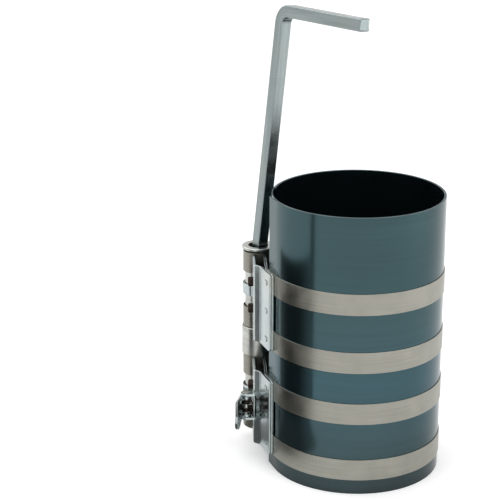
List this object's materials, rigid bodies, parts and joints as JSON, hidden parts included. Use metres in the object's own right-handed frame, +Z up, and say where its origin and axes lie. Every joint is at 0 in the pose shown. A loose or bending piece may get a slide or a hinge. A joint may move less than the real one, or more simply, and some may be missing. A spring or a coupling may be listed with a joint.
{
  "type": "piston ring compressor",
  "caption": "Wound spring steel sleeve drawn tight by tension bands that a square key winds on a ratchet spindle, to press piston rings into their grooves.",
  "frame": {"origin": "on the axis of the sleeve's bore, in the plane that the sleeve stands on", "axes": "+Z up along the bore, towards the key; -X towards the brackets and spindle; -Y towards the viewer of the picture"},
  "size_m": [0.1217, 0.1013, 0.2709],
  "materials": {
    "blued_steel": "glossy blued spring steel",
    "band_steel": "satin bare steel",
    "zinc_plate": "bright zinc plate",
    "dark_oxide": "dark oxide"
  },
  "bodies": {
    "band_frame": {"sleeve": "blued_steel", "band_1": "band_steel", "band_2": "band_steel", "band_3": "band_steel", "band_4": "band_steel", "upper_bracket": "zinc_plate", "lower_bracket": "zinc_plate", "upper_spacer_rivets": "dark_oxide", "lower_spacer_rivets": "dark_oxide", "upper_seam_tabs": "zinc_plate", "lower_seam_tabs": "zinc_plate", "pawl_pin": "zinc_plate", "pawl_spring": "dark_oxide"},
    "spindle": {"upper_spindle": "zinc_plate", "lower_spindle": "zinc_plate", "coupling_sleeve": "zinc_plate", "drive_plug": "zinc_plate", "band_roll_1": "band_steel", "band_roll_2": "band_steel", "band_roll_3": "band_steel", "band_roll_4": "band_steel"},
    "key_bar": {"key": "zinc_plate"},
    "pawl": {"pawl_lever": "zinc_plate"}
  },
  "joints": [
    {"name": "spindle_turn", "type": "hinge", "parent": "band_frame", "child": "spindle", "pos_m": [-0.05613, 0.03173, 0.065], "axis": [0, 0, 1], "range_deg": [-175, 1545]},
    {"name": "key_lift", "type": "slide", "parent": "spindle", "child": "key_bar", "axis": [0.0976, 0, 0.9952], "range_m": [0, 0.03]},
    {"name": "pawl_release", "type": "hinge", "parent": "band_frame", "child": "pawl", "pos_m": [-0.06438, 0.00473, 0.03225], "axis": [0, 0, 1], "range_deg": [0, 12], "stiffness_Nm_per_rad": 0.05, "springref_deg": -11.46, "deforming": ["pawl_spring"]}
  ]
}
